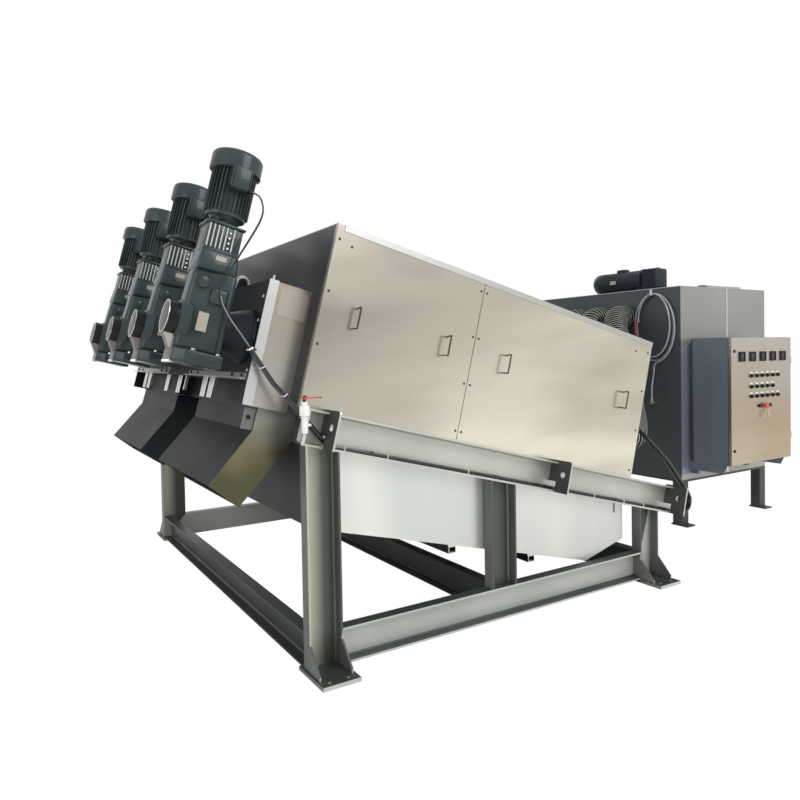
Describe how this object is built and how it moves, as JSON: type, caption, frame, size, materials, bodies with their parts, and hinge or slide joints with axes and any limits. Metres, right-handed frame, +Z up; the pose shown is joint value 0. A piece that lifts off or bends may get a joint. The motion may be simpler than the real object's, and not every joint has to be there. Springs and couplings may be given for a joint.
{
  "type": "multi-disc screw press",
  "caption": "Inclined multi-disc screw press on a steel frame, with geared drives, cake chutes, filtrate tray, flocculation tank and control cabinet.",
  "frame": {"origin": "centre of the plan at floor level, under the base plates", "axes": "+Z up, +X from the discharge end to the tank, -Y towards the side with the control cabinet"},
  "size_m": [5.7106, 3.36, 2.5678],
  "materials": {
    "frame_steel": "satin",
    "cover_sheet": "brushed",
    "housing_sheet": "satin",
    "tray_sheet": "satin",
    "tank_sheet": "satin",
    "cylinder_steel": "satin",
    "drive_paint": "satin",
    "hose_grey": "matt",
    "cabinet_sheet": "satin",
    "valve_plastic": "matt",
    "lever_red": "matt",
    "black_plastic": "satin",
    "hose_clear": "gloss"
  },
  "bodies": {
    "machine": {"base_frame_far": "frame_steel", "base_frame_near": "frame_steel", "cabinet_body": "cabinet_sheet", "cover_front_plate": "cover_sheet", "cover_lid": "cover_sheet", "cover_panel_far_front": "cover_sheet", "cover_panel_far_rear": "cover_sheet", "cover_panel_near_front": "cover_sheet", "cover_panel_near_rear": "cover_sheet", "cover_rear_plate": "cover_sheet", "cross_beam_front": "frame_steel", "cross_beam_mid": "frame_steel", "cross_beam_rear": "frame_steel", "disc_cylinder_1": "cylinder_steel", "disc_cylinder_2": "cylinder_steel", "disc_cylinder_3": "cylinder_steel", "disc_cylinder_4": "cylinder_steel", "discharge_chute_1": "housing_sheet", "discharge_chute_2": "housing_sheet", "discharge_housing": "housing_sheet", "feed_hose_1": "hose_grey", "feed_hose_2": "hose_grey", "feed_hose_3": "hose_grey", "feed_hose_4": "hose_grey", "filtrate_tray": "tray_sheet", "gearbox_1": "drive_paint", "gearbox_2": "drive_paint", "gearbox_3": "drive_paint", "gearbox_4": "drive_paint", "mixer_gearmotor": "drive_paint", "motor_1": "drive_paint", "motor_2": "drive_paint", "motor_3": "drive_paint", "motor_4": "drive_paint", "rail_conduit": "black_plastic", "rail_far": "frame_steel", "rail_near": "frame_steel", "spray_gun": "lever_red", "tank_roof": "tank_sheet", "tank_shell": "tank_sheet", "tank_stand": "frame_steel", "valve_body": "valve_plastic", "wash_hose_coil": "hose_clear", "wash_hose_tail": "hose_clear"},
    "door": {"cabinet_door": "cabinet_sheet"},
    "lever": {"valve_lever": "lever_red"}
  },
  "joints": [
    {"name": "cabinet_door_hinge", "type": "hinge", "parent": "machine", "child": "door", "pos_m": [2.55733, -1.173, 1.097], "axis": [0, 0, 1], "range_deg": [0, 105]},
    {"name": "valve_lever_turn", "type": "hinge", "parent": "machine", "child": "lever", "pos_m": [-2.29667, -1.549, 1.344], "axis": [0, 0, 1], "range_deg": [-90, 0]}
  ]
}
